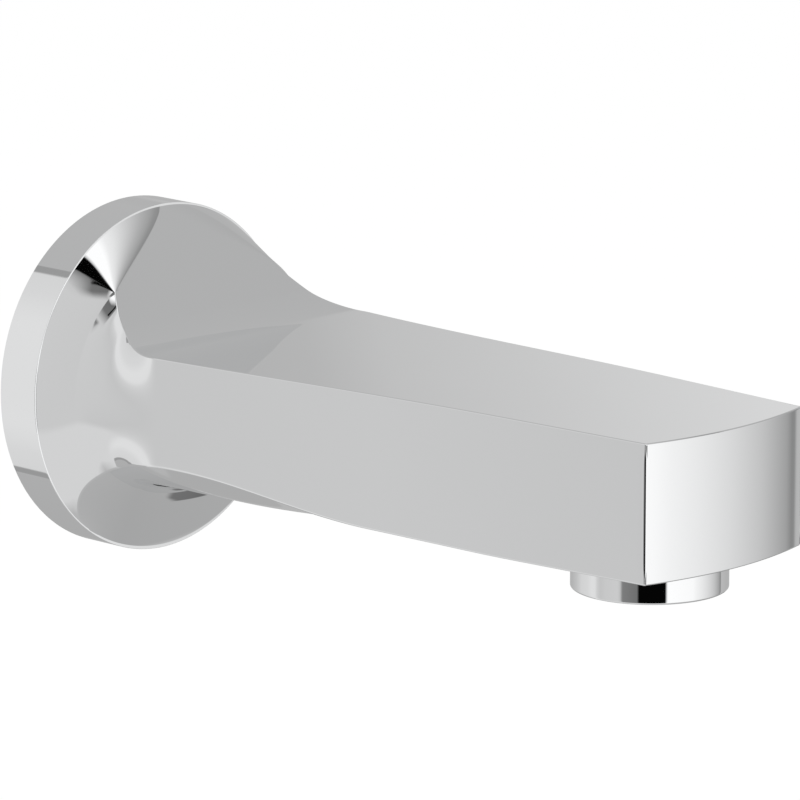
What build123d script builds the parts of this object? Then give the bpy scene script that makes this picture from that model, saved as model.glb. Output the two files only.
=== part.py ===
"""Wall spout: chromed body with an aerator in the tip and a threaded nipple for the wall.

Millimetres, Z up. X runs out from the wall, Y runs across, and the origin is the
centre of the flange's back face, which lies on the wall.
"""
import os
from math import asin, atan2, cos, hypot, pi, sin, sqrt, tan

from build123d import *

os.makedirs("parts", exist_ok=True)

# Flange
flange_radius = 35.0
flange_thickness = 10.3
flange_edge = 0.2
flange_back_edge = 0.5
rim_step = 0.1
recess_inner_radius = 18.5
recess_outer_radius = 30.5
recess_depth = 4.5

# Round neck, with lengths from the front of the flange
neck_radius = 30.1
neck_length = 12.1
neck_foot_radius = 7.1
shoulder_length = 9.15
shoulder_dip = 0.45
shoulder_flat = 0.2
turn_start = 15.2
turn_end = 28.7

# Flat bar
reach = 162.2
front_bow = 3.2
tip_half_width = 21.85
taper = 0.06
flank_bow_start = 95.0
flank_bow_radius = 1825.0
flank_crown = 0.02
tip_edge = 0.8
outline_margin = 0.03
edge_radius = 0.6
sweep_radius = 21.5
sweep_end = 37.0
bar_top_root = 12.66
bar_top_rise = 0.92
bar_top_rise_end = 125.0

# Underside: the flank's lower edge and the keel in the middle
edge_drop = 8.85
edge_drop_end = 42.0
edge_spread = 10.6
edge_flare = 6.7
edge_step = 4.1
edge_step_end = 92.0
edge_rest = 0.5
edge_rest_start = 80.0
edge_rest_end = 130.0
keel_depth = 19.6
keel_flare_radius = 15.0
keel_flare_length = 14.6
keel_flare_margin = 0.25
keel_rise = 6.1
keel_rise_start = 46.0
keel_rise_end = 116.0
tip_lift = 0.4

# Lofts
shoulder_steps = 8
shoulder_pace = 1.5
bar_steps = 18
bar_pace = 1.35
straight_length = 40.2
blank_margin = 6.0

# Waterway
inlet_thread_length = 15.0
inlet_channel_radius = 7.0
cavity_start = 26.0
cavity_front_wall = 10.4
cavity_width = 34.0
cavity_height = 13.0
cavity_centre = 3.0
cavity_corner = 4.0

# Wall nipple and its gasket
thread_radius = 10.48
thread_clearance = 0.05
wall_thread_length = 15.0
body_thread_length = 13.0
thread_lead = 1.2
nipple_collar_radius = 13.2
nipple_collar_thickness = 3.0
collar_recess_clearance = 0.4
key_across_flats = 12.0
gasket_thickness = 2.0

# Aerator
aerator_setback = 21.4
collar_radius = 14.9
collar_bottom = -20.2
collar_edge = 0.4
spot_face = 12.9
spot_margin = 0.35
aerator_thread_radius = 13.4
aerator_clearance = 0.05
seat_depth = 8.6
housing_thread_length = 7.0
insert_radius = 11.4
insert_clearance = 0.1
outlet_radius = 10.2
outlet_lip = 1.5
insert_floor = 1.6
insert_wall = 1.4
jet_radius = 0.95
jet_pitch = 3.7
washer_inner_radius = 9.2
outlet_channel_radius = 8.5

neck_rim_radius = flange_radius - flange_edge - rim_step
neck_end = flange_thickness + neck_length
foot_rise = neck_radius + neck_foot_radius - neck_rim_radius
cone_angle = asin(neck_foot_radius / hypot(neck_length, foot_rise)) - atan2(foot_rise, neck_length)
cone_slope = tan(cone_angle)
foot_start = neck_end - neck_foot_radius * sin(cone_angle)
shoulder_x = flange_thickness + shoulder_length
tip_corner_x = reach - front_bow
tip_radius = (tip_half_width**2 + front_bow**2) / (2 * front_bow)
straight_start = reach - straight_length
blank_end = reach + blank_margin


def ease(start, end, x):
    """Smooth rise from 0 at start to 1 at end."""
    t = min(max((x - start) / (end - start), 0.0), 1.0)
    return t * t * (3 - 2 * t)


def bow(radius, run):
    """How far an arc of this radius has left its tangent after a run."""
    return radius - sqrt(radius**2 - max(run, 0.0) ** 2)


def neck(x):
    """Radius of the round neck at x: a cone from the flange's rim that runs out in an arc."""
    if x < foot_start:
        return neck_rim_radius - cone_slope * (x - flange_thickness)
    return neck_radius + bow(neck_foot_radius, neck_end - x)


def turn(x):
    """How far the flank has turned from round (0) to flat (1) at x."""
    return ease(flange_thickness + turn_start, flange_thickness + turn_end, x)


def flat_half(x):
    """Half width of the flat bar at x."""
    return tip_half_width + taper * (tip_corner_x - x) + bow(flank_bow_radius, flank_bow_start - x)


def half_width(x, z):
    """Half width of the body's corners at x and height z."""
    share = turn(x)
    if share == 1.0:
        return flat_half(x)
    return (1 - share) * sqrt(neck(x) ** 2 - z * z) + share * flat_half(x)


def side_half(x):
    """Half width of the body halfway up the flank at x."""
    spread = neck_rim_radius - flat_half(flange_thickness)
    back = max(flange_thickness + turn_end - x, 0.0) / turn_end
    return flat_half(x) + spread * back**2 + flank_crown * turn(x)


def bar_top(x):
    """Height of the bar's top face and of the sweep up to the neck at x."""
    rise = bar_top_rise * ease(sweep_end, bar_top_rise_end, x)
    return bar_top_root + rise + bow(sweep_radius, sweep_end - x)


def top(x):
    """Height of the top face at x, from the flange's rim to the tip."""
    if x >= shoulder_x:
        return bar_top(x)
    rim, foot = neck_rim_radius - shoulder_flat, bar_top(shoulder_x)
    run = sweep_end - shoulder_x
    foot_slope = run / sqrt(sweep_radius**2 - run**2)
    t = (x - flange_thickness) / shoulder_length
    fall = rim - foot
    early = fall - (cone_slope + shoulder_dip) * shoulder_length
    late = foot_slope * shoulder_length - fall
    return rim - fall * t + t * (1 - t) * (early * (1 - t) + late * t)


def tip_rise(x):
    """How far the underside has risen towards the tip at x."""
    return tip_lift * ease(straight_start, blank_end, x)


def edge_depth(x):
    """Depth of the flank's lower edge at x."""
    back = max(edge_drop_end - x, 0.0) / (edge_drop_end - flange_thickness)
    flare = edge_spread * back**2 + edge_flare * back**8
    step = edge_step * ease(edge_drop_end, edge_step_end, x)
    rest = edge_rest * ease(edge_rest_start, edge_rest_end, x)
    return edge_drop + flare + step + rest - tip_rise(x)


def keel(x):
    """Depth of the underside in the middle at x."""
    flare_end = flange_thickness + keel_flare_length
    spread = neck_rim_radius - keel_flare_margin - keel_depth
    flare = spread * bow(keel_flare_radius, flare_end - x) / bow(keel_flare_radius, keel_flare_length)
    rise = keel_rise * ease(keel_rise_start, keel_rise_end, x)
    return keel_depth + flare - rise - tip_rise(x)


# Where the crease between the top face and the round neck ends in the shoulder
shoulder_sine = (top(shoulder_x) - edge_radius) / (neck(shoulder_x) - edge_radius)
shoulder_angle = asin(shoulder_sine)
shoulder_cosine = cos(shoulder_angle)
edge_run = edge_radius * shoulder_cosine
edge_fall = edge_radius * (1 - shoulder_sine)


def mirror_y(point):
    """The same point on the other side of the middle plane."""
    return (-point[0], point[1])


def along_x(x):
    """Sketch plane across the spout's axis at x, facing outwards."""
    return Plane((x, 0, 0), x_dir=(0, 1, 0), z_dir=(1, 0, 0))


def up_at(x, z):
    """Level sketch plane at height z, centred on x, facing up."""
    return Plane((x, 0, z))


def lower_outline(x, outer):
    """Draw one flank, the keel and the other flank, from the outer corner round to its mirror point."""
    lower = (half_width(x, edge_depth(x)), -edge_depth(x))
    side = (side_half(x), (outer[1] + lower[1]) / 2)
    ThreePointArc(outer, side, lower)
    ThreePointArc(lower, (0, -keel(x)), mirror_y(lower))
    ThreePointArc(mirror_y(lower), mirror_y(side), mirror_y(outer))


def shoulder_section(x):
    """Cross-section at x where the corner between the top face and the neck is a large round."""
    height = top(x)
    radius = (height - neck(x) * shoulder_sine) / (1 - shoulder_sine)
    middle = (shoulder_angle + pi / 2) / 2
    cy, cz = (neck(x) - radius) * shoulder_cosine, (neck(x) - radius) * shoulder_sine
    inner = (cy, height)
    bend = (cy + radius * cos(middle), cz + radius * sin(middle))
    outer = (neck(x) * shoulder_cosine, neck(x) * shoulder_sine)
    with BuildSketch(along_x(x)) as profile:
        with BuildLine():
            Line(mirror_y(inner), inner)
            ThreePointArc(inner, bend, outer)
            lower_outline(x, outer)
            ThreePointArc(mirror_y(outer), mirror_y(bend), mirror_y(inner))
        make_face()
    return profile.sketch


def bar_section(x):
    """Cross-section at x where the top face ends in a fine bevel."""
    height = top(x)
    outer = (half_width(x, height - edge_fall), height - edge_fall)
    inner = (outer[0] - edge_run, height)
    with BuildSketch(along_x(x)) as profile:
        with BuildLine():
            Polyline(mirror_y(outer), mirror_y(inner), inner, outer)
            lower_outline(x, outer)
        make_face()
    return profile.sketch


shoulder_stations = [
    flange_thickness + shoulder_length * (step / shoulder_steps) ** shoulder_pace
    for step in range(shoulder_steps + 1)
]
bar_stations = [
    shoulder_x + (straight_start - shoulder_x) * (step / bar_steps) ** bar_pace
    for step in range(bar_steps + 1)
]

inlet_radius = thread_radius + thread_clearance
inlet_seat = nipple_collar_thickness + gasket_thickness
collar_recess_radius = nipple_collar_radius + collar_recess_clearance
cavity_end = reach - cavity_front_wall
aerator_x = reach - aerator_setback
seat_radius = aerator_thread_radius + aerator_clearance
seat_top = seat_depth - spot_face
housing_top = housing_thread_length - spot_face
insert_bottom = collar_bottom + outlet_lip
outline_root_half = flange_radius + 2.0
outline_tip_half = tip_half_width + outline_margin
outline_tip_x = reach - bow(tip_radius, outline_tip_half)

with BuildPart() as spout_body:
    with BuildSketch(along_x(0)):
        Circle(flange_radius)
    extrude(amount=flange_thickness)
    flange_rims = spout_body.edges().filter_by(GeomType.CIRCLE).sort_by(Axis.X)
    chamfer(flange_rims[0], flange_back_edge)
    chamfer(flange_rims[-1], flange_edge)
    loft(sections=[shoulder_section(x) for x in shoulder_stations])
    loft(sections=[bar_section(x) for x in bar_stations])
    loft(sections=[bar_section(straight_start), bar_section(blank_end)], ruled=True)
    # The front face is an arc in plan, rounded into the flanks
    with BuildSketch(Plane.XY) as plan:
        with BuildLine():
            Polyline(
                (outline_tip_x, outline_tip_half),
                (-1, outline_root_half),
                (-1, -outline_root_half),
                (outline_tip_x, -outline_tip_half),
            )
            ThreePointArc(
                (outline_tip_x, -outline_tip_half), (reach, 0), (outline_tip_x, outline_tip_half)
            )
        make_face()
        fillet(plan.vertices().group_by(Axis.X)[-1], tip_edge)
    extrude(amount=outline_root_half, both=True, mode=Mode.INTERSECT)
    # Back of the flange
    with BuildSketch(along_x(0)):
        Circle(recess_outer_radius)
        Circle(recess_inner_radius, mode=Mode.SUBTRACT)
    extrude(amount=recess_depth, mode=Mode.SUBTRACT)
    with BuildSketch(along_x(0)):
        Circle(collar_recess_radius)
    extrude(amount=inlet_seat, mode=Mode.SUBTRACT)
    # Waterway
    with BuildSketch(along_x(inlet_seat)):
        Circle(inlet_radius)
    extrude(amount=inlet_thread_length, mode=Mode.SUBTRACT)
    with BuildSketch(along_x(inlet_seat)):
        Circle(inlet_channel_radius)
    extrude(amount=cavity_start + cavity_corner - inlet_seat, mode=Mode.SUBTRACT)
    with BuildSketch(along_x(cavity_start)):
        with Locations((0, cavity_centre)):
            RectangleRounded(cavity_width, cavity_height, cavity_corner)
    extrude(amount=cavity_end - cavity_start, mode=Mode.SUBTRACT)
    # Aerator seat in the underside
    with BuildSketch(up_at(aerator_x, -spot_face)):
        Circle(collar_radius + spot_margin)
    extrude(amount=-flange_radius, mode=Mode.SUBTRACT)
    with BuildSketch(up_at(aerator_x, -spot_face)):
        Circle(seat_radius)
    extrude(amount=seat_depth, mode=Mode.SUBTRACT)
    with BuildSketch(up_at(aerator_x, seat_top)):
        Circle(outlet_channel_radius)
    extrude(amount=cavity_centre - seat_top, mode=Mode.SUBTRACT)

with BuildPart() as connection_nipple:
    with BuildSketch(along_x(-wall_thread_length)):
        Circle(thread_radius)
    extrude(amount=wall_thread_length + inlet_seat + body_thread_length)
    thread_ends = connection_nipple.edges().filter_by(GeomType.CIRCLE)
    chamfer(thread_ends, thread_lead)
    with BuildSketch(along_x(0)):
        Circle(nipple_collar_radius)
    extrude(amount=nipple_collar_thickness)
    with BuildSketch(along_x(-wall_thread_length)):
        RegularPolygon(key_across_flats / 2, 6, major_radius=False)
    extrude(amount=wall_thread_length + inlet_seat + body_thread_length, mode=Mode.SUBTRACT)

with BuildPart() as nipple_gasket:
    with BuildSketch(along_x(nipple_collar_thickness)):
        Circle(nipple_collar_radius)
        Circle(inlet_radius, mode=Mode.SUBTRACT)
    extrude(amount=gasket_thickness)

with BuildPart() as aerator_housing:
    with BuildSketch(up_at(aerator_x, collar_bottom)):
        Circle(collar_radius)
    extrude(amount=-spot_face - collar_bottom)
    chamfer(aerator_housing.edges().filter_by(GeomType.CIRCLE).sort_by(Axis.Z)[0], collar_edge)
    with BuildSketch(up_at(aerator_x, -spot_face)):
        Circle(aerator_thread_radius)
    extrude(amount=housing_thread_length)
    with BuildSketch(up_at(aerator_x, insert_bottom)):
        Circle(insert_radius + insert_clearance)
    extrude(amount=housing_top - insert_bottom, mode=Mode.SUBTRACT)
    with BuildSketch(up_at(aerator_x, collar_bottom)):
        Circle(outlet_radius)
    extrude(amount=outlet_lip, mode=Mode.SUBTRACT)

with BuildPart() as aerator_insert:
    with BuildSketch(up_at(aerator_x, insert_bottom)):
        Circle(insert_radius)
    extrude(amount=housing_top - insert_bottom)
    with BuildSketch(up_at(aerator_x, insert_bottom + insert_floor)):
        Circle(insert_radius - insert_wall)
    extrude(amount=housing_top - insert_bottom - insert_floor, mode=Mode.SUBTRACT)
    with BuildSketch(up_at(aerator_x, insert_bottom)):
        for ring in range(3):
            count = max(1, 6 * ring)
            for step in range(count):
                angle = 2 * pi * step / count
                with Locations((jet_pitch * ring * cos(angle), jet_pitch * ring * sin(angle))):
                    Circle(jet_radius)
    extrude(amount=insert_floor, mode=Mode.SUBTRACT)

with BuildPart() as aerator_washer:
    with BuildSketch(up_at(aerator_x, housing_top)):
        Circle(aerator_thread_radius)
        Circle(washer_inner_radius, mode=Mode.SUBTRACT)
    extrude(amount=seat_top - housing_top)

pieces = {
    "spout_body": spout_body,
    "connection_nipple": connection_nipple,
    "nipple_gasket": nipple_gasket,
    "aerator_housing": aerator_housing,
    "aerator_insert": aerator_insert,
    "aerator_washer": aerator_washer,
}
for name, piece in pieces.items():
    piece.part.label = name
    export_step(piece.part, f"parts/{name}.step")
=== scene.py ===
"""Chromed wall spout: a dressed body, aerator and wall nipple in a plain studio.

Sizes are in millimetres in the fields of the classes and in metres in the meshes. X runs out
from the wall, Y across the spout and Z up.
"""
import logging
from dataclasses import dataclass, field
from enum import Enum
from math import asin, atan2, cos, hypot, pi, radians, sin, sqrt, tan

import bmesh
import bpy
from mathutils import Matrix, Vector


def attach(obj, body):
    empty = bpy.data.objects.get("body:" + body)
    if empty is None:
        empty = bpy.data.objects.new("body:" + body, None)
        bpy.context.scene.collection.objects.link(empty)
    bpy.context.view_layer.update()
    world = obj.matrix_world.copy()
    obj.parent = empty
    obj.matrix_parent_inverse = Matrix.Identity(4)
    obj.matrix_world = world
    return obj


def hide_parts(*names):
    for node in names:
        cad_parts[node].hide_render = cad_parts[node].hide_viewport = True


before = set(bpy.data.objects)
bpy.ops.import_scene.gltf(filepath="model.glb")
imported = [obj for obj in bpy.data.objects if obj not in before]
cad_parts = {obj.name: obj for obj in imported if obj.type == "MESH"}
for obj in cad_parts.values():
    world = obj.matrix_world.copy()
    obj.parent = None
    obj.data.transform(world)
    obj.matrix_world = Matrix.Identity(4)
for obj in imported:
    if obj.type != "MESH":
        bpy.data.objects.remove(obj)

MM = 0.001
WELD = 0.002
SHARP_ANGLE = 34.0
LOG = logging.getLogger("wall_spout")

Point = tuple[float, float, float]
Ring = list[Point]
Flat = tuple[float, float]
Outline = list[Flat]
Socket = bpy.types.NodeSocket


class Body(Enum):
    """The bodies that pieces ride on."""

    ROOT = "root"


class Coat(Enum):
    """Names of the material slots."""

    BODY = "body_chrome"
    COLLAR = "collar_chrome"
    INSERT = "insert_plastic"
    SEAL = "seal_rubber"
    NIPPLE = "nipple_brass"


def blend(low: float, high: float, share: float) -> float:
    """Value between low and high at a share.

    Args:
        low: Value at 0.
        high: Value at 1.
        share: How far from low to high.

    Returns:
        The value.
    """
    return low + (high - low) * share


def smoothstep(start: float, end: float, value: float) -> float:
    """Smooth rise from 0 at start to 1 at end.

    Args:
        start: Where the rise begins.
        end: Where the rise ends.
        value: Where it is read.

    Returns:
        A share from 0 to 1.
    """
    share = min(max((value - start) / (end - start), 0.0), 1.0)
    return share * share * (3.0 - 2.0 * share)


def bow(radius: float, run: float) -> float:
    """How far an arc has left its tangent.

    Args:
        radius: Radius of the arc.
        run: Length along the tangent; a negative run counts as none.

    Returns:
        The distance from the tangent.
    """
    return radius - sqrt(radius**2 - max(run, 0.0) ** 2)


def mirrored(point: Flat) -> Flat:
    """The same point of a cross-section on the other side of the middle plane.

    Args:
        point: A point (y, z).

    Returns:
        The mirrored point.
    """
    return (-point[0], point[1])


@dataclass(frozen=True)
class Arc:
    """A circular arc in a cross-section."""

    centre: Flat
    radius: float
    start: float
    sweep: float

    @classmethod
    def through(cls, first: Flat, middle: Flat, last: Flat) -> "Arc":
        """The arc from one point over a second to a third.

        Args:
            first: Start of the arc.
            middle: A point on the arc.
            last: End of the arc.

        Returns:
            The arc.
        """
        (ax, ay), (bx, by), (cx, cy) = first, middle, last
        turn = 2.0 * (ax * (by - cy) + bx * (cy - ay) + cx * (ay - by))
        a2, b2, c2 = ax * ax + ay * ay, bx * bx + by * by, cx * cx + cy * cy
        ox = (a2 * (by - cy) + b2 * (cy - ay) + c2 * (ay - by)) / turn
        oy = (a2 * (cx - bx) + b2 * (ax - cx) + c2 * (bx - ax)) / turn
        start, mid, end = (atan2(y - oy, x - ox) for x, y in (first, middle, last))
        sweep = (end - start) % (2.0 * pi)
        if (mid - start) % (2.0 * pi) > sweep:
            sweep -= 2.0 * pi
        return cls((ox, oy), hypot(ax - ox, ay - oy), start, sweep)

    def at(self, share: float) -> Flat:
        """The point at a share of the way along the arc.

        Args:
            share: From 0, at the start, to 1, at the end.

        Returns:
            The point (y, z).
        """
        turn = self.start + self.sweep * share
        return (self.centre[0] + self.radius * cos(turn), self.centre[1] + self.radius * sin(turn))

    def walk(self, first: float, last: float, count: int) -> Outline:
        """Even points along a part of the arc.

        Args:
            first: Share of the arc where the part starts.
            last: Share of the arc where the part ends.
            count: How many steps the part has.

        Returns:
            count points, without the last one.
        """
        return [self.at(blend(first, last, i / count)) for i in range(count)]

    @property
    def length(self) -> float:
        """Length of the arc."""
        return abs(self.radius * self.sweep)


def link(nodes: bpy.types.NodeTree, source: Socket, target: Socket) -> None:
    """Join two sockets of a node tree.

    Args:
        nodes: The tree.
        source: Output to join from.
        target: Input to join to.
    """
    nodes.links.new(source, target)


class RingPiece:
    """A piece that is drawn ring by ring from a circle, as a loft or a turned shape."""

    def __init__(self, name: str, count: int) -> None:
        """Start the piece from a circle.

        Args:
            name: Name of the finished object.
            count: Points in each ring.
        """
        bpy.ops.object.select_all(action="DESELECT")
        bpy.ops.mesh.primitive_circle_add(vertices=count, radius=MM)
        self.obj = bpy.context.object
        self.obj.name = name
        self.obj.data.name = name
        self.count = count
        bpy.ops.object.mode_set(mode="EDIT")
        bpy.ops.mesh.select_mode(type="EDGE")
        bpy.ops.mesh.select_all(action="SELECT")

    def _place(self, ring: Ring) -> None:
        """Move the newest ring's points, in order, to the ring's places.

        Args:
            ring: Points in millimetres.
        """
        mesh = bmesh.from_edit_mesh(self.obj.data)
        mesh.verts.ensure_lookup_table()
        for vert, point in zip(mesh.verts[-self.count:], ring):
            vert.co = Vector(point) * MM
        bmesh.update_edit_mesh(self.obj.data)

    def draw(self, rings: list[Ring], cap_first: bool = True) -> None:
        """Extrude the circle through the rings.

        Args:
            rings: Rings of points in millimetres, each as long as the circle.
            cap_first: Whether the first ring is closed with a face.
        """
        self._place(rings[0])
        if cap_first:
            bpy.ops.mesh.edge_face_add()
            bpy.ops.mesh.select_all(action="DESELECT")
            self._select_last_ring()
        for ring in rings[1:]:
            bpy.ops.mesh.extrude_edges_indiv()
            self._place(ring)

    def _select_last_ring(self) -> None:
        """Select the edges of the newest ring only."""
        mesh = bmesh.from_edit_mesh(self.obj.data)
        mesh.verts.ensure_lookup_table()
        last = set(mesh.verts[-self.count:])
        for edge in mesh.edges:
            edge.select = all(v in last for v in edge.verts)
        bmesh.update_edit_mesh(self.obj.data)

    def finish(self, angle: float, weighted: bool = True) -> bpy.types.Object:
        """Close the mesh, turn its faces outwards and smooth it.

        Args:
            angle: Edges sharper than this, in degrees, stay sharp.
            weighted: Whether large faces lead the normals.

        Returns:
            The finished object, at the origin.
        """
        bpy.ops.mesh.select_all(action="SELECT")
        bpy.ops.mesh.remove_doubles(threshold=MM * WELD)
        bpy.ops.mesh.normals_make_consistent(inside=False)
        bpy.ops.object.mode_set(mode="OBJECT")
        bpy.ops.object.shade_smooth_by_angle(angle=radians(angle))
        if weighted:
            modifier = self.obj.modifiers.new("even_normals", "WEIGHTED_NORMAL")
            modifier.keep_sharp = True
            modifier.weight = 50
            bpy.ops.object.modifier_apply(modifier=modifier.name)
        bpy.ops.object.transform_apply(location=True, rotation=True, scale=True)
        LOG.info("%s: %d faces", self.obj.name, len(self.obj.data.polygons))
        return self.obj


class FinishBench:
    """The node tree of one material, laid out on the object's own coordinates."""

    def __init__(self, name: str) -> None:
        """Start the material.

        Args:
            name: Name of the material.
        """
        self.material = bpy.data.materials.new(name)
        self.material.use_nodes = True
        self.tree = self.material.node_tree
        self.shader = self.tree.nodes["Principled BSDF"]
        self.place = self.tree.nodes.new("ShaderNodeTexCoord")

    def noise(self, scale: float, detail: float = 2.0) -> Socket:
        """A cloudy pattern.

        Args:
            scale: How fine the pattern is.
            detail: How many finer layers it has.

        Returns:
            The pattern's socket.
        """
        node = self.tree.nodes.new("ShaderNodeTexNoise")
        node.inputs["Scale"].default_value = scale
        node.inputs["Detail"].default_value = detail
        link(self.tree, self.place.outputs["Object"], node.inputs["Vector"])
        return node.outputs["Fac"]

    def tone(self, pattern: Socket, dark: Point, light: Point, span: Flat = (0.0, 1.0)) -> None:
        """Colour the surface by a pattern.

        Args:
            pattern: The pattern's socket.
            dark: Colour where the pattern is low.
            light: Colour where the pattern is high.
            span: The pattern's values for the two colours.
        """
        node = self.tree.nodes.new("ShaderNodeValToRGB")
        for element, place, colour in zip(node.color_ramp.elements, span, (dark, light)):
            element.position = place
            element.color = (*colour, 1.0)
        link(self.tree, pattern, node.inputs["Fac"])
        link(self.tree, node.outputs["Color"], self.shader.inputs["Base Color"])

    def gloss(self, pattern: Socket, low: float, high: float) -> None:
        """Roughen the surface by a pattern.

        Args:
            pattern: The pattern's socket.
            low: Roughness where the pattern is low.
            high: Roughness where the pattern is high.
        """
        node = self.tree.nodes.new("ShaderNodeMapRange")
        node.inputs["To Min"].default_value = low
        node.inputs["To Max"].default_value = high
        link(self.tree, pattern, node.inputs["Value"])
        link(self.tree, node.outputs["Result"], self.shader.inputs["Roughness"])

    def relief(self, pattern: Socket, strength: float, depth: float) -> None:
        """Raise the surface by a pattern.

        Args:
            pattern: The pattern's socket.
            strength: How much of the relief shows.
            depth: Height of the relief in metres.
        """
        node = self.tree.nodes.new("ShaderNodeBump")
        node.inputs["Strength"].default_value = strength
        node.inputs["Distance"].default_value = depth
        link(self.tree, pattern, node.inputs["Height"])
        link(self.tree, node.outputs["Normal"], self.shader.inputs["Normal"])


@dataclass(frozen=True)
class ChromePlate:
    """Bright plate over polished metal, with a faint haze and polishing marks."""

    name: str
    tint: Point = (0.93, 0.935, 0.94)
    haze: float = 0.03
    haze_spread: float = 0.01
    cloud_scale: float = 35.0
    cloud_detail: float = 3.0
    cloud_shade: float = 0.985
    mark_scale: float = 900.0
    mark_strength: float = 0.01
    mark_depth: float = 0.00002

    def make(self) -> bpy.types.Material:
        """Build the node material.

        Returns:
            The chrome material.
        """
        bench = FinishBench(self.name)
        bench.shader.inputs["Metallic"].default_value = 1.0
        cloud = bench.noise(self.cloud_scale, self.cloud_detail)
        bench.gloss(cloud, self.haze - self.haze_spread, self.haze + self.haze_spread)
        bench.tone(cloud, tuple(c * self.cloud_shade for c in self.tint), self.tint)
        bench.relief(bench.noise(self.mark_scale), self.mark_strength, self.mark_depth)
        return bench.material


@dataclass(frozen=True)
class TurnedBrass:
    """Bare turned brass with fine rings round the X axis and slight tarnish."""

    name: str
    bright: Point = (0.78, 0.58, 0.27)
    dull: Point = (0.52, 0.36, 0.15)
    tarnish_scale: float = 220.0
    tarnish_detail: float = 6.0
    tarnish_span: Flat = (0.3, 0.65)
    ring_scale: float = 1400.0
    ring_wander: float = 0.6
    ring_strength: float = 0.12
    ring_depth: float = 0.00003
    gloss_span: Flat = (0.22, 0.38)

    def make(self) -> bpy.types.Material:
        """Build the node material.

        Returns:
            The brass material.
        """
        bench = FinishBench(self.name)
        bench.shader.inputs["Metallic"].default_value = 1.0
        tarnish = bench.noise(self.tarnish_scale, self.tarnish_detail)
        bench.tone(tarnish, self.dull, self.bright, self.tarnish_span)
        rings = bench.tree.nodes.new("ShaderNodeTexWave")
        rings.wave_type = "BANDS"
        rings.bands_direction = "X"
        rings.inputs["Scale"].default_value = self.ring_scale
        rings.inputs["Distortion"].default_value = self.ring_wander
        link(bench.tree, bench.place.outputs["Object"], rings.inputs["Vector"])
        bench.gloss(rings.outputs["Fac"], *self.gloss_span)
        bench.relief(rings.outputs["Fac"], self.ring_strength, self.ring_depth)
        return bench.material


@dataclass(frozen=True)
class MouldedFinish:
    """Moulded plastic or rubber: a cloudy tone and a fine grain."""

    name: str
    light: Point
    dark: Point
    roughness: float
    grain_scale: float
    grain_strength: float
    grain_depth: float = 0.0001
    cloud_scale: float = 260.0
    cloud_detail: float = 4.0

    def make(self) -> bpy.types.Material:
        """Build the node material.

        Returns:
            The moulded material.
        """
        bench = FinishBench(self.name)
        bench.shader.inputs["Roughness"].default_value = self.roughness
        bench.tone(bench.noise(self.cloud_scale, self.cloud_detail), self.dark, self.light)
        bench.relief(bench.noise(self.grain_scale), self.grain_strength, self.grain_depth)
        return bench.material


def dress(piece: bpy.types.Object, material: bpy.types.Material) -> None:
    """Give a piece its only material.

    Args:
        piece: The piece's object.
        material: Its material.
    """
    piece.data.materials.clear()
    piece.data.materials.append(material)


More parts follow.
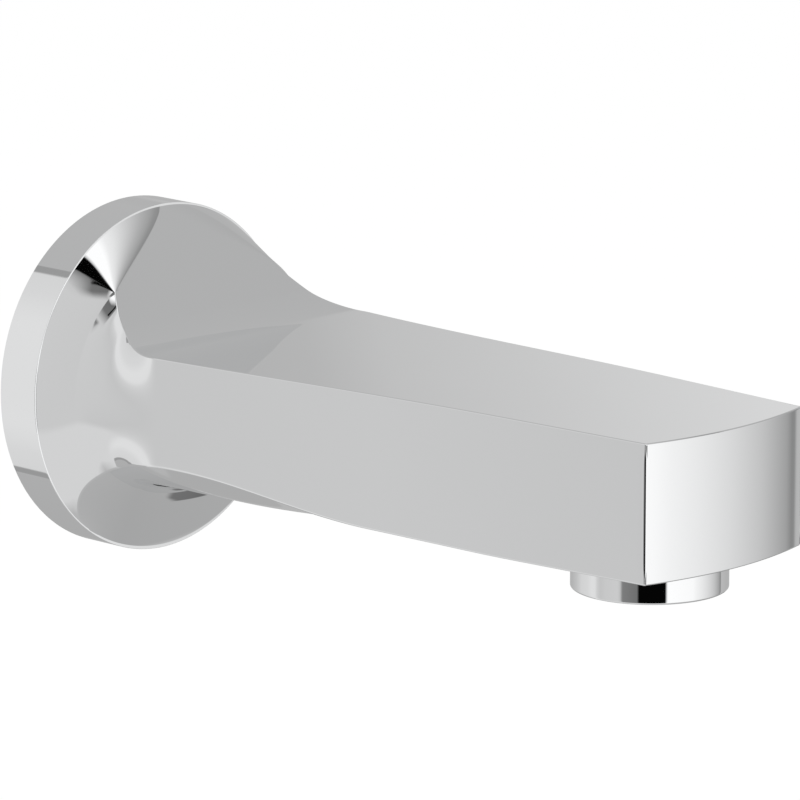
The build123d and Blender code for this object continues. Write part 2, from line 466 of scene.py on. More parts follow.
@dataclass
class SpoutShell:
    """The cast body: flange, round neck, flat tapering bar and curved front face."""

    flange_radius: float = 35.0
    flange_thickness: float = 10.3
    flange_edge: float = 0.2
    flange_back_edge: float = 0.5
    rim_round: float = 0.08
    rim_step: float = 0.1
    neck_radius: float = 30.1
    neck_end: float = 22.4
    foot_radius: float = 7.1
    shoulder_x: float = 19.45
    shoulder_dip: float = 0.45
    shoulder_flat: float = 0.2
    turn_start: float = 25.5
    turn_end: float = 39.0
    reach: float = 162.2
    front_bow: float = 3.2
    tip_half: float = 21.85
    taper: float = 0.06
    flank_bow_start: float = 95.0
    flank_bow_radius: float = 1825.0
    flank_crown: float = 0.02
    edge_radius: float = 0.6
    crease_fullness: float = 0.12
    hem: float = 0.4
    front_edge: float = 0.3
    tip_edge: float = 0.8
    tip_zone: float = 150.0
    straight_start: float = 122.0
    blank_end: float = 168.2
    sweep_radius: float = 21.5
    sweep_end: float = 37.0
    bar_top_root: float = 12.66
    bar_top_rise: float = 0.92
    bar_top_rise_end: float = 125.0
    edge_drop: float = 8.85
    edge_drop_end: float = 42.0
    edge_spread: float = 10.6
    edge_flare: float = 6.7
    edge_step: float = 4.1
    edge_step_end: float = 92.0
    edge_rest: float = 0.5
    edge_rest_span: Flat = (80.0, 130.0)
    keel_depth: float = 19.6
    keel_flare_radius: float = 15.0
    keel_flare_length: float = 14.6
    keel_flare_margin: float = 0.25
    keel_rise: float = 6.1
    keel_rise_span: Flat = (46.0, 116.0)
    tip_lift: float = 0.4
    recess_outer: float = 30.5
    recess_inner: float = 18.5
    recess_depth: float = 4.5
    socket_radius: float = 13.6
    socket_depth: float = 5.0
    inlet_radius: float = 10.53
    inlet_end: float = 20.0
    channel_radius: float = 7.0
    channel_end: float = 29.0
    top_steps: int = 20
    corner_steps: int = 20
    flank_steps: int = 28
    hem_steps: int = 5
    obj: bpy.types.Object | None = field(default=None, init=False)

    def __post_init__(self) -> None:
        """Work out the sizes that follow from the others."""
        self.rim = self.flange_radius - self.flange_edge - self.rim_step
        run, rise = self.neck_end - self.flange_thickness, self.neck_radius + self.foot_radius - self.rim
        angle = asin(self.foot_radius / hypot(run, rise)) - atan2(rise, run)
        self.cone_slope = tan(angle)
        self.foot_start = self.neck_end - self.foot_radius * sin(angle)
        self.tip_corner_x = self.reach - self.front_bow
        self.tip_radius = (self.tip_half**2 + self.front_bow**2) / (2.0 * self.front_bow)
        foot = self.top(self.shoulder_x) - self.edge_radius
        self.shoulder_angle = asin(foot / (self.neck(self.shoulder_x) - self.edge_radius))
        self.edge_run = self.edge_radius * cos(self.shoulder_angle)
        self.edge_fall = self.edge_radius * (1.0 - sin(self.shoulder_angle))

    def neck(self, x: float) -> float:
        """Radius of the round neck, a cone that runs out in an arc.

        Args:
            x: Distance from the wall.

        Returns:
            The radius.
        """
        if x < self.foot_start:
            return self.rim - self.cone_slope * (x - self.flange_thickness)
        return self.neck_radius + bow(self.foot_radius, self.neck_end - x)

    def flat_half(self, x: float) -> float:
        """Half width of the flat bar.

        Args:
            x: Distance from the wall.

        Returns:
            The half width.
        """
        bowed = bow(self.flank_bow_radius, self.flank_bow_start - x)
        return self.tip_half + self.taper * (self.tip_corner_x - x) + bowed

    def half_width(self, x: float, z: float) -> float:
        """Half width of the body's corners.

        Args:
            x: Distance from the wall.
            z: Height.

        Returns:
            The half width.
        """
        share = smoothstep(self.turn_start, self.turn_end, x)
        if share >= 1.0:
            return self.flat_half(x)
        return blend(sqrt(self.neck(x) ** 2 - z * z), self.flat_half(x), share)

    def side_half(self, x: float) -> float:
        """Half width of the body halfway up the flank.

        Args:
            x: Distance from the wall.

        Returns:
            The half width.
        """
        spread = self.rim - self.flat_half(self.flange_thickness)
        back = max(self.turn_end - x, 0.0) / (self.turn_end - self.flange_thickness)
        crown = self.flank_crown * smoothstep(self.turn_start, self.turn_end, x)
        return self.flat_half(x) + spread * back**2 + crown

    def top(self, x: float) -> float:
        """Height of the top face, from the flange's rim to the tip.

        Args:
            x: Distance from the wall.

        Returns:
            The height.
        """
        if x >= self.shoulder_x:
            rise = self.bar_top_rise * smoothstep(self.sweep_end, self.bar_top_rise_end, x)
            return self.bar_top_root + rise + bow(self.sweep_radius, self.sweep_end - x)
        start, foot = self.rim - self.shoulder_flat, self.top(self.shoulder_x)
        run, length = self.sweep_end - self.shoulder_x, self.shoulder_x - self.flange_thickness
        foot_slope = run / sqrt(self.sweep_radius**2 - run**2)
        share, fall = (x - self.flange_thickness) / length, start - foot
        early = fall - (self.cone_slope + self.shoulder_dip) * length
        late = foot_slope * length - fall
        return start - fall * share + share * (1.0 - share) * blend(early, late, share)

    def tip_rise(self, x: float) -> float:
        """How far the underside has risen towards the tip.

        Args:
            x: Distance from the wall.

        Returns:
            The rise.
        """
        share = (x - self.straight_start) / (self.blank_end - self.straight_start)
        return self.tip_lift * min(max(share, 0.0), 1.0)

    def edge_depth(self, x: float) -> float:
        """Depth of the flank's lower edge.

        Args:
            x: Distance from the wall.

        Returns:
            The depth below the axis.
        """
        back = max(self.edge_drop_end - x, 0.0) / (self.edge_drop_end - self.flange_thickness)
        flare = self.edge_spread * back**2 + self.edge_flare * back**8
        step = self.edge_step * smoothstep(self.edge_drop_end, self.edge_step_end, x)
        rest = self.edge_rest * smoothstep(*self.edge_rest_span, x)
        return self.edge_drop + flare + step + rest - self.tip_rise(x)

    def keel(self, x: float) -> float:
        """Depth of the underside in the middle.

        Args:
            x: Distance from the wall.

        Returns:
            The depth below the axis.
        """
        run = self.flange_thickness + self.keel_flare_length - x
        full = bow(self.keel_flare_radius, self.keel_flare_length)
        spread = self.rim - self.keel_flare_margin - self.keel_depth
        flare = spread * bow(self.keel_flare_radius, run) / full
        rise = self.keel_rise * smoothstep(*self.keel_rise_span, x)
        return self.keel_depth + flare - rise - self.tip_rise(x)

    def corner(self, x: float) -> Arc:
        """The rounded corner between the top face and the flank.

        Args:
            x: Distance from the wall.

        Returns:
            The corner's arc, from the top face to the flank.
        """
        height = self.top(x)
        if x <= self.shoulder_x:
            angle, neck = self.shoulder_angle, self.neck(x)
            radius = (height - neck * sin(angle)) / (1.0 - sin(angle))
            centre = ((neck - radius) * cos(angle), (neck - radius) * sin(angle))
            return Arc(centre, radius, pi / 2.0, angle - pi / 2.0)
        outer = (self.half_width(x, height - self.edge_fall), height - self.edge_fall)
        inner = (outer[0] - self.edge_run, height)
        out, up = self.edge_fall * self.crease_fullness, self.edge_run * self.crease_fullness
        bend = ((inner[0] + outer[0]) / 2.0 + out, (inner[1] + outer[1]) / 2.0 + up)
        return Arc.through(inner, bend, outer)

    def half_outline(self, x: float) -> Outline:
        """Right half of the cross-section at x, from the middle of the top face to the keel.

        Args:
            x: Distance from the wall.

        Returns:
            Points (y, z) in millimetres.
        """
        corner = self.corner(x)
        inner, outer = corner.at(0.0), corner.at(1.0)
        depth = self.edge_depth(x)
        low = (self.half_width(x, depth), -depth)
        flank = Arc.through(outer, (self.side_half(x), (outer[1] - depth) / 2.0), low)
        hull = Arc.through(low, (0.0, -self.keel(x)), mirrored(low))
        flank_share, hull_share = 1.0 - self.hem / flank.length, self.hem / hull.length
        above, below = flank.at(flank_share), hull.at(hull_share)
        rounded = tuple(0.25 * a + 0.5 * b + 0.25 * c for a, b, c in zip(above, low, below))
        points = [(inner[0] * i / self.top_steps, inner[1]) for i in range(self.top_steps)]
        points += corner.walk(0.0, 1.0, self.corner_steps)
        points += flank.walk(0.0, flank_share, self.flank_steps)
        points += Arc.through(above, rounded, below).walk(0.0, 1.0, self.hem_steps)
        return points + hull.walk(hull_share, 0.5, self.top_steps) + [(0.0, -self.keel(x))]

    def outline(self, x: float) -> Outline:
        """Closed cross-section at x, from the middle of the top face.

        Args:
            x: Distance from the wall.

        Returns:
            Points (y, z) in millimetres.
        """
        half = self.half_outline(x)
        return half + [mirrored(point) for point in half[-2:0:-1]]

    def front(self, y: float) -> float:
        """Distance of the front face from the wall.

        Args:
            y: Distance from the middle plane.

        Returns:
            The distance from the wall.
        """
        return self.reach - bow(self.tip_radius, abs(y))

    def body_rings(self) -> list[Ring]:
        """Rings of the neck and the bar, from the flange to the front edge.

        Returns:
            Rings of points in millimetres.
        """
        places = [self.flange_thickness + s for s in (0.0, 0.03, 0.1, 0.2, 0.35, 0.55, 0.8, 1.1, 1.5)]
        places += [self.flange_thickness + 2.0 + 0.45 * i for i in range(16)]
        places += [self.shoulder_x - 0.05, self.shoulder_x + 0.001, self.shoulder_x + 0.3]
        places += [self.shoulder_x + 0.8 + 0.5 * i for i in range(44)]
        places += [43.0 + 2.0 * i for i in range(54)]
        rings = [[(x, y, z) for y, z in self.outline(x)] for x in sorted(places)]
        return rings + self.tip_rings()

    def tip_rings(self) -> list[Ring]:
        """Rings of the tip, bent to the front face's arc and rounded into it.

        Returns:
            Rings of points in millimetres.
        """
        start, end = self.outline(self.tip_zone), self.outline(self.reach)
        count, length = len(start), self.reach - self.tip_zone
        sides, rounds = [], []
        for i, ((y0, z0), (y1, z1)) in enumerate(zip(start, end)):
            share = (self.front(y1) - self.tip_zone) / length
            edge = Vector((self.tip_zone, y0, z0)).lerp(Vector((self.reach, y1, z1)), share)
            (ya, za), (yb, zb) = end[i - 1], end[(i + 1) % count]
            side = Vector((length, y1 - y0, z1 - z0)).cross(Vector((0.0, yb - ya, zb - za))).normalized()
            face = Vector((sqrt(self.tip_radius**2 - edge.y**2), edge.y, 0.0)).normalized()
            radius = self.tip_round(edge.z)
            if side.y * edge.y + side.z * edge.z < 0.0:
                side.negate()
            middle = edge - radius * (side + face) / (1.0 + side.dot(face))
            rounds.append([middle + radius * side.slerp(face, step / 6.0) for step in range(7)])
            sides.append(Vector((self.tip_zone, y0, z0)))
        rings = []
        for step in range(1, 7):
            rings.append([tuple(a.lerp(b[0], step / 6.0)) for a, b in zip(sides, rounds)])
        for step in range(1, 7):
            rings.append([tuple(b[step]) for b in rounds])
        return rings

    def tip_round(self, z: float) -> float:
        """Radius of the round between the front face and the rest.

        Args:
            z: Height.

        Returns:
            The radius.
        """
        inside = min(self.top(self.reach) - z, z + self.edge_depth(self.reach))
        return blend(self.front_edge, self.tip_edge, smoothstep(0.8, 4.0, inside))

    def flange_profile(self) -> list[Flat]:
        """The turned part of the body, from the inlet's channel round the back to the flange's rim.

        Returns:
            Pairs of distance from the wall and radius in millimetres.
        """
        edge = self.rim_round
        profile = [
            (self.channel_end, self.channel_radius),
            (self.inlet_end, self.channel_radius),
            (self.inlet_end, self.inlet_radius),
            (self.socket_depth, self.inlet_radius),
            (self.socket_depth, self.socket_radius),
            (0.0, self.socket_radius),
            (0.0, self.recess_inner),
            (self.recess_depth, self.recess_inner),
            (self.recess_depth, self.recess_outer),
            (0.0, self.recess_outer),
            (0.0, self.flange_radius - self.flange_back_edge),
            (self.flange_back_edge, self.flange_radius),
            (self.flange_back_edge + 0.4, self.flange_radius),
            (self.flange_thickness - edge - 0.4, self.flange_radius),
        ]
        for step in range(7):
            turn = pi / 12.0 * step
            x = self.flange_thickness - edge + edge * sin(turn)
            profile.append((x, self.flange_radius - edge + edge * cos(turn)))
        return profile

    def build(self) -> bpy.types.Object:
        """Model the body and stand it in for the CAD body.

        Returns:
            The body's object.
        """
        body = self.body_rings()
        turns = [atan2(z, y) for _, y, z in body[0]]
        rings = [[(x, r * cos(t), r * sin(t)) for t in turns] for x, r in self.flange_profile()]
        piece = RingPiece("spout_shell", len(turns))
        piece.draw(rings + body)
        self.close_front(piece)
        self.obj = piece.finish(SHARP_ANGLE)
        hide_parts("spout_body")
        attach(self.obj, Body.ROOT.value)
        return self.obj

    def close_front(self, piece: RingPiece) -> None:
        """Fill the front face with upright strips between its top and bottom edges.

        Args:
            piece: The drawn body, in edit mode, with its last ring at the front.
        """
        mesh = bmesh.from_edit_mesh(piece.obj.data)
        mesh.verts.ensure_lookup_table()
        last = list(mesh.verts[-piece.count:])
        middle, side = piece.count // 2, self.top_steps
        for i in range(-side, side):
            mesh.faces.new((last[i], last[i + 1], last[middle - i - 1], last[middle - i]))
        mesh.faces.new(last[side: middle - side + 1])
        mesh.faces.new(last[middle + side: piece.count - side + 1])
        bmesh.update_edit_mesh(piece.obj.data)

    def dress(self, finish: ChromePlate) -> None:
        """Give the body its finish.

        Args:
            finish: The plate of the body.
        """
        dress(self.obj, finish.make())


@dataclass
class AeratorCollar:
    """The turned collar that shows under the tip, with its outlet and hidden thread."""

    centre_x: float = 140.8
    radius: float = 14.9
    bottom: float = -20.2
    top: float = -12.9
    edge: float = 0.4
    thread_radius: float = 13.4
    thread_top: float = -5.9
    bore_radius: float = 11.5
    outlet_radius: float = 10.2
    lip: float = 1.5
    count: int = 144
    obj: bpy.types.Object | None = field(default=None, init=False)

    def profile(self) -> list[Flat]:
        """Radius and height of the collar's outline, from the bore round the outside and back.

        Returns:
            Pairs of radius and height in millimetres.
        """
        lip_top = self.bottom + self.lip
        line = [(self.bore_radius, self.thread_top), (self.bore_radius, lip_top)]
        line.append((self.outlet_radius, lip_top))
        line += [(self.outlet_radius, self.bottom + 0.3), (self.outlet_radius + 0.3, self.bottom)]
        line += [(self.radius - self.edge - 0.3, self.bottom)]
        for i in range(7):
            turn = pi / 12.0 * i
            out = self.radius - self.edge + self.edge * sin(turn)
            line.append((out, self.bottom + self.edge - self.edge * cos(turn)))
        line += [(self.radius, self.bottom + self.edge + 0.3), (self.radius, self.top)]
        line += [(self.thread_radius, self.top), (self.thread_radius, self.thread_top)]
        return line

    def build(self) -> bpy.types.Object:
        """Model the collar and stand it in for the CAD housing.

        Returns:
            The collar's object.
        """
        piece = RingPiece("aerator_collar", self.count)
        rings = []
        for radius, height in self.profile() + self.profile()[:1]:
            turns = [2.0 * pi * i / self.count for i in range(self.count)]
            rings.append([(self.centre_x + radius * cos(t), radius * sin(t), height) for t in turns])
        piece.draw(rings, cap_first=False)
        self.obj = piece.finish(SHARP_ANGLE)
        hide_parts("aerator_housing")
        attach(self.obj, Body.ROOT.value)
        return self.obj

    def dress(self, finish: ChromePlate) -> None:
        """Give the collar its finish.

        Args:
            finish: The plate of the collar.
        """
        dress(self.obj, finish.make())


@dataclass
class WallNipple:
    """The threaded brass nipple that joins the body to the wall."""

    thread_radius: float = 10.48
    thread_depth: float = 1.1
    pitch: float = 1.814
    wall_end: float = -15.0
    body_end: float = 18.0
    collar_radius: float = 13.2
    collar_thickness: float = 3.0
    collar_edge: float = 0.3
    lead: float = 1.2
    key_flats: float = 12.0
    count: int = 96
    obj: bpy.types.Object | None = field(default=None, init=False)

    def thread(self, x: float, turn: float) -> float:
        """Radius of the thread.

        Args:
            x: Distance from the wall.
            turn: Turn round the axis in radians.

        Returns:
            The radius.
        """
        phase = (x / self.pitch - turn / (2.0 * pi)) % 1.0
        flank = abs(2.0 * phase - 1.0)
        cut = self.thread_depth * min(max(1.25 * flank - 0.125, 0.0), 1.0)
        for end, side in ((self.wall_end, 1.0), (self.body_end, -1.0)):
            run = side * (x - end)
            if run < self.lead:
                cut = max(cut, self.lead - run)
        return self.thread_radius - cut

    def key(self, turn: float) -> float:
        """Distance of the key socket's wall from the axis.

        Args:
            turn: Turn round the axis in radians.

        Returns:
            The distance.
        """
        sector = (turn + pi / 6.0) % (pi / 3.0) - pi / 6.0
        return self.key_flats / 2.0 / cos(sector)

    def build(self) -> bpy.types.Object:
        """Model the nipple and stand it in for the CAD nipple.

        Returns:
            The nipple's object.
        """
        turns = [2.0 * pi * i / self.count for i in range(self.count)]
        socket = [(self.key(t) * cos(t), self.key(t) * sin(t)) for t in turns]
        rings = [[(x, y, z) for y, z in socket] for x in (self.body_end, self.wall_end)]
        step = self.pitch / 8.0
        places = [self.wall_end + step * i for i in range(int(-self.wall_end / step))] + [-0.05]
        rings += [self._threaded(turns, x) for x in places]
        for x, radius in (
            (0.0, self.collar_radius - self.collar_edge),
            (self.collar_edge, self.collar_radius),
            (self.collar_thickness - self.collar_edge, self.collar_radius),
            (self.collar_thickness, self.collar_radius - self.collar_edge),
        ):
            rings.append([(x, radius * cos(t), radius * sin(t)) for t in turns])
        start = self.collar_thickness + 0.05
        count = int((self.body_end - start) / step)
        rings += [self._threaded(turns, blend(start, self.body_end, i / count)) for i in range(count + 1)]
        rings.append(rings[0])
        piece = RingPiece("wall_nipple", self.count)
        piece.draw(rings, cap_first=False)
        self.obj = piece.finish(30.0, weighted=False)
        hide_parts("connection_nipple")
        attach(self.obj, Body.ROOT.value)
        return self.obj

    def _threaded(self, turns: list[float], x: float) -> Ring:
        """One ring of the thread.

        Args:
            turns: Turns of the ring's points in radians.
            x: Distance from the wall.

        Returns:
            The ring's points.
        """
        return [(x, self.thread(x, t) * cos(t), self.thread(x, t) * sin(t)) for t in turns]

    def dress(self, finish: TurnedBrass) -> None:
        """Give the nipple its finish.

        Args:
            finish: The metal of the nipple.
        """
        dress(self.obj, finish.make())


@dataclass(frozen=True)
class Stop:
    """One tone of the studio: a grey from 0 to 255 at a place along a scale."""

    place: float
    grey: float

    @property
    def level(self) -> float:
        """The grey as a light level."""
        share = self.grey / 255.0
        return share / 12.92 if share <= 0.04045 else ((share + 0.055) / 1.055) ** 2.4


@dataclass(frozen=True)
class Zone:
    """A part of the room with its own tones, bounded by spans of the direction's X, Y and Z."""

    name: str
    tones: tuple[Stop, ...]
    spans: dict[str, Flat]
    soft: float = 0.05


class NodeBench:
    """Small helpers for building one node tree."""

    def __init__(self, tree: bpy.types.NodeTree) -> None:
        """Start on an empty tree.

        Args:
            tree: The node tree to build in.
        """
        self.tree = tree
        tree.nodes.clear()

    def node(self, kind: str) -> bpy.types.Node:
        """A new node.

        Args:
            kind: The node's type.

        Returns:
            The node.
        """
        return self.tree.nodes.new(kind)

    def math(self, kind: str, first: Socket, second: Socket) -> Socket:
        """A math node on two sockets.

        Args:
            kind: The operation.
            first: First value.
            second: Second value.

        Returns:
            The result's socket.
        """
        node = self.node("ShaderNodeMath")
        node.operation = kind
        link(self.tree, first, node.inputs[0])
        link(self.tree, second, node.inputs[1])
        return node.outputs["Value"]

    def rise(self, value: Socket, start: float, end: float, smooth: bool) -> Socket:
        """A rise from 0 where the value is at the start to 1 where it is at the end.

        Args:
            value: The value that is read.
            start: Where the rise begins.
            end: Where it ends, which may lie below the start.
            smooth: Whether the rise eases in and out.

        Returns:
            The rise's socket.
        """
        node = self.node("ShaderNodeMapRange")
        node.interpolation_type = "SMOOTHSTEP" if smooth else "LINEAR"
        node.inputs["From Min"].default_value = start
        node.inputs["From Max"].default_value = end
        link(self.tree, value, node.inputs["Value"])
        return node.outputs["Result"]

    def ramp(self, value: Socket, tones: tuple[Stop, ...]) -> Socket:
        """Greys along a value.

        Args:
            value: The value that is read.
            tones: The greys in order of their places.

        Returns:
            The colour's socket.
        """
        low, high = tones[0].place, tones[-1].place
        node = self.node("ShaderNodeValToRGB")
        stops = node.color_ramp.elements
        for tone in tones[1:-1]:
            stops.new((tone.place - low) / (high - low))
        for element, tone in zip(stops, tones):
            element.position = (tone.place - low) / (high - low)
            element.color = (tone.level, tone.level, tone.level, 1.0)
        link(self.tree, self.rise(value, low, high, False), node.inputs["Fac"])
        return node.outputs["Color"]

    def mix(self, share: Socket, first: Socket, second: Socket) -> Socket:
        """Two colours mixed by a share.

        Args:
            share: 0 for the first colour, 1 for the second.
            first: First colour.
            second: Second colour.

        Returns:
            The colour's socket.
        """
        node = self.node("ShaderNodeMix")
        node.data_type = "RGBA"
        link(self.tree, share, node.inputs[0])
        link(self.tree, first, node.inputs[6])
        link(self.tree, second, node.inputs[7])
        return node.outputs[2]


@dataclass
class Studio:
    """The room that the chrome reflects, the pale floor and the lamps."""

    ring: tuple[Stop, ...] = (
        Stop(-180.0, 192.0),
        Stop(-165.0, 210.0),
        Stop(-150.0, 214.0),
        Stop(-141.0, 222.0),
        Stop(-134.0, 221.0),
        Stop(-130.5, 206.0),
        Stop(-127.0, 199.0),
        Stop(-124.0, 195.0),
        Stop(-115.0, 200.0),
        Stop(-95.0, 203.0),
        Stop(-91.0, 190.0),
        Stop(-88.0, 125.0),
        Stop(-66.0, 112.0),
        Stop(-64.0, 5.0),
        Stop(-25.0, 5.0),
        Stop(-22.0, 255.0),
        Stop(18.0, 250.0),
        Stop(24.0, 242.0),
        Stop(34.0, 232.0),
        Stop(46.0, 217.0),
        Stop(60.0, 194.0),
        Stop(73.0, 159.0),
        Stop(77.0, 125.0),
        Stop(79.0, 184.0),
        Stop(100.0, 176.0),
        Stop(160.0, 178.0),
        Stop(180.0, 192.0),
    )
    zones: tuple[Zone, ...] = (
        Zone(
            "front_sky",
            (Stop(-1.0, 198.0), Stop(0.0, 226.0)),
            {"X": (0.1, 2.0), "Y": (-2.0, 0.05), "Z": (0.08, 2.0)},
        ),
        Zone(
            "overhead",
            (
                Stop(-0.52, 198.0),
                Stop(-0.45, 165.0),
                Stop(-0.38, 112.0),
                Stop(-0.25, 105.0),
                Stop(-0.20, 255.0),
                Stop(-0.04, 255.0),
                Stop(0.05, 236.0),
                Stop(0.16, 226.0),
                Stop(0.27, 212.0),
                Stop(0.39, 195.0),
                Stop(0.52, 174.0),
                Stop(0.60, 160.0),
                Stop(0.668, 138.0),
                Stop(0.674, 176.0),
                Stop(0.80, 173.0),
                Stop(0.95, 170.0),
            ),
            {"X": (-0.13, 2.0), "Y": (-0.55, 2.0), "Z": (0.35, 2.0)},
            0.03,
        ),
        Zone(
            "black_gap",
            (Stop(-0.40, 2.0), Stop(-0.2, 2.0)),
            {"X": (-0.068, -0.018), "Y": (-0.385, -0.235), "Z": (0.5, 2.0)},
            0.008,
        ),
        Zone(
            "far_light",
            (
                Stop(0.685, 176.0),
                Stop(0.694, 179.0),
                Stop(0.702, 190.0),
                Stop(0.715, 197.0),
                Stop(0.738, 212.0),
            ),
            {"X": (-2.0, -0.55), "Y": (0.6, 2.0), "Z": (0.1, 0.32)},
        ),
        Zone(
            "floor_glow",
            (Stop(-0.25, 210.0), Stop(-0.1, 180.0), Stop(0.35, 172.0), Stop(0.55, 165.0), Stop(0.8, 168.0)),
            {"X": (-0.6, 2.0), "Z": (-2.0, -0.47)},
        ),
        Zone(
            "wall_top",
            (Stop(-0.3, 178.0), Stop(0.6, 178.0)),
            {"X": (-2.0, -0.66), "Y": (-0.205, 2.0), "Z": (0.36, 2.0)},
            0.008,
        ),
        Zone(
            "wall_seam",
            (Stop(-0.3, 152.0), Stop(0.6, 152.0)),
            {"X": (-2.0, -0.66), "Y": (-0.262, -0.205), "Z": (0.4, 2.0)},
            0.008,
        ),
        Zone(
            "wall_foot",
            (Stop(-0.3, 174.0), Stop(0.6, 168.0)),
            {"X": (-2.0, -0.66), "Y": (-0.205, 2.0), "Z": (-2.0, -0.36)},
            0.008,
        ),
        Zone(
            "foot_seam",
            (Stop(-0.3, 152.0), Stop(0.6, 152.0)),
            {"X": (-2.0, -0.66), "Y": (-0.262, -0.205), "Z": (-2.0, -0.4)},
            0.008,
        ),
        # Painted shade: a dark patch in the floor that the chrome reflects, standing in for the spout's own
        # darkening of that floor.
        Zone(
            "dark_lens",
            (Stop(0.64, 112.0), Stop(0.70, 108.0), Stop(0.76, 96.0)),
            {"X": (-0.66, -0.10), "Y": (0.642, 2.0), "Z": (-0.74, -0.38)},
            0.012,
        ),
    )
    plate_gain: float = 1.07
    lamp_power: float = 6.0
    lamp_size: float = 1.2
    lamp_place: Point = (0.1, -0.3, 1.4)
    floor_height: float = -0.3
    floor_size: float = 12.0
    floor_tone: float = 0.98
    floor_glow: float = 0.85

    def sky(self) -> None:
        """Build the world: white to the camera, the studio's tones to the chrome."""
        world = bpy.data.worlds.new("studio")
        bpy.context.scene.world = world
        world.use_nodes = True
        bench = NodeBench(world.node_tree)
        place = bench.node("ShaderNodeTexCoord")
        axes = bench.node("ShaderNodeSeparateXYZ")
        link(bench.tree, place.outputs["Generated"], axes.inputs["Vector"])
        azimuth = bench.math("ARCTAN2", axes.outputs["Y"], axes.outputs["X"])
        around = tuple(Stop(radians(stop.place), stop.grey) for stop in self.ring)
        room = bench.ramp(azimuth, around)
        for zone in self.zones:
            room = self._lay(bench, room, zone, axes)
        path = bench.node("ShaderNodeLightPath")
        shine = bench.node("ShaderNodeBackground")
        shine.inputs["Strength"].default_value = self.plate_gain
        link(bench.tree, room, shine.inputs["Color"])
        plain = bench.node("ShaderNodeBackground")
        plain.inputs["Color"].default_value = (1.0, 1.0, 1.0, 1.0)
        choose = bench.node("ShaderNodeMixShader")
        link(bench.tree, path.outputs["Is Glossy Ray"], choose.inputs["Fac"])
        link(bench.tree, plain.outputs["Background"], choose.inputs[1])
        link(bench.tree, shine.outputs["Background"], choose.inputs[2])
        out = bench.node("ShaderNodeOutputWorld")
        link(bench.tree, choose.outputs["Shader"], out.inputs["Surface"])
        LOG.info("studio: %d tones round the room, %d zones", len(self.ring), len(self.zones))

    @staticmethod
    def _lay(bench: NodeBench, room: Socket, zone: Zone, axes: bpy.types.Node) -> Socket:
        """Lay one zone's tones over the room.

        Args:
            bench: The world's node tree.
            room: The room's colour so far.
            zone: The zone to lay over it.
            axes: The node with the direction's X, Y and Z.

        Returns:
            The room's colour with the zone.
        """
        share = None
        for axis, (low, high) in zone.spans.items():
            for limit, side in ((low, 1.0), (high, -1.0)):
                if abs(limit) > 1.0:
                    continue
                fade = side * zone.soft
                inside = bench.rise(axes.outputs[axis], limit - fade, limit + fade, True)
                share = inside if share is None else bench.math("MULTIPLY", share, inside)
        return bench.mix(share, room, bench.ramp(axes.outputs["Y"], zone.tones))

    def floor(self) -> None:
        """Lay the pale floor below the spout, white to the camera away from the shadow."""
        bpy.ops.object.select_all(action="DESELECT")
        bpy.ops.mesh.primitive_plane_add(size=self.floor_size, location=(0.0, 0.0, self.floor_height))
        floor = bpy.context.object
        floor.name = "floor"
        floor.visible_glossy = False
        material = bpy.data.materials.new("pale_floor")
        material.use_nodes = True
        tree = material.node_tree
        tree.nodes.clear()
        path = tree.nodes.new("ShaderNodeLightPath")
        matt = tree.nodes.new("ShaderNodeBsdfDiffuse")
        matt.inputs["Color"].default_value = (self.floor_tone, self.floor_tone, self.floor_tone, 1.0)
        white = tree.nodes.new("ShaderNodeEmission")
        both = tree.nodes.new("ShaderNodeMixShader")
        both.inputs["Fac"].default_value = self.floor_glow
        link(tree, matt.outputs["BSDF"], both.inputs[1])
        link(tree, white.outputs["Emission"], both.inputs[2])
        pick = tree.nodes.new("ShaderNodeMixShader")
        link(tree, path.outputs["Is Camera Ray"], pick.inputs["Fac"])
        link(tree, matt.outputs["BSDF"], pick.inputs[1])
        link(tree, both.outputs["Shader"], pick.inputs[2])
        out = tree.nodes.new("ShaderNodeOutputMaterial")
        link(tree, pick.outputs["Shader"], out.inputs["Surface"])
        dress(floor, material)

    def lamps(self) -> None:
        """Hang one soft lamp above the spout."""
        light = bpy.data.lights.new("soft_top", "AREA")
        light.energy = self.lamp_power
        light.size = self.lamp_size
        lamp = bpy.data.objects.new("soft_top", light)
        lamp.location = self.lamp_place
        lamp.visible_glossy = False
        bpy.context.collection.objects.link(lamp)


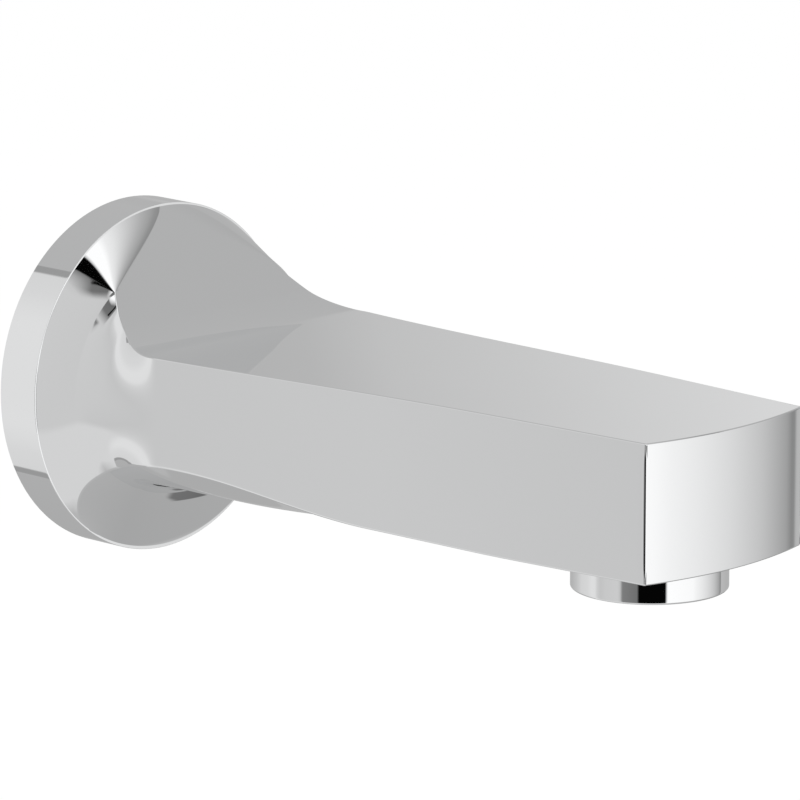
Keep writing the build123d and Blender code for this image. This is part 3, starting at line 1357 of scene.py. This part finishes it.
@dataclass
class PhotoCamera:
    """The camera at the photo's place and angle."""

    azimuth: float = 43.97
    elevation: float = 12.66
    distance: float = 1339.8
    target: Point = (75.89, 0.0, 5.32)
    focal_pixels: float = 6951.5
    width_pixels: float = 800.0

    def place(self) -> None:
        """Set the scene's camera."""
        turn, rise = radians(self.azimuth), radians(self.elevation)
        back = Vector((sin(turn) * cos(rise), -cos(turn) * cos(rise), sin(rise)))
        lens = bpy.data.cameras.new("photo_camera")
        lens.sensor_width = 36.0
        lens.lens = self.focal_pixels / self.width_pixels * lens.sensor_width
        lens.clip_end = 50.0
        camera = bpy.data.objects.new("photo_camera", lens)
        camera.location = (Vector(self.target) + back * self.distance) * MM
        camera.rotation_euler = back.to_track_quat("Z", "Y").to_euler()
        bpy.context.collection.objects.link(camera)
        bpy.context.scene.camera = camera


def dress_cad_nodes() -> None:
    """Give the CAD nodes that stay their finishes."""
    rubber = MouldedFinish("black_rubber", (0.045, 0.045, 0.045), (0.02, 0.02, 0.02), 0.62, 2500.0, 0.25)
    plastic = MouldedFinish("pale_plastic", (0.74, 0.75, 0.76), (0.66, 0.67, 0.68), 0.42, 1800.0, 0.12)
    rubber_material, plastic_material = rubber.make(), plastic.make()
    for name in ("aerator_washer", "nipple_gasket"):
        dress(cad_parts[name], rubber_material)
    dress(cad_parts["aerator_insert"], plastic_material)


def main() -> None:
    """Build the pieces, the studio and the camera."""
    logging.basicConfig(level=logging.INFO, format="%(name)s %(message)s")
    bpy.context.scene.view_settings.view_transform = "Standard"
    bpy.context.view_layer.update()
    shell, collar, nipple = SpoutShell(), AeratorCollar(), WallNipple()
    for piece in (shell, collar, nipple):
        LOG.info("built %s", piece.build().name)
    shell.dress(ChromePlate("body_chrome_plate"))
    collar.dress(ChromePlate("collar_chrome_plate"))
    nipple.dress(TurnedBrass("nipple_turned_brass"))
    dress_cad_nodes()
    studio = Studio()
    studio.sky()
    studio.floor()
    studio.lamps()
    PhotoCamera().place()


if __name__ == "__main__":
    main()
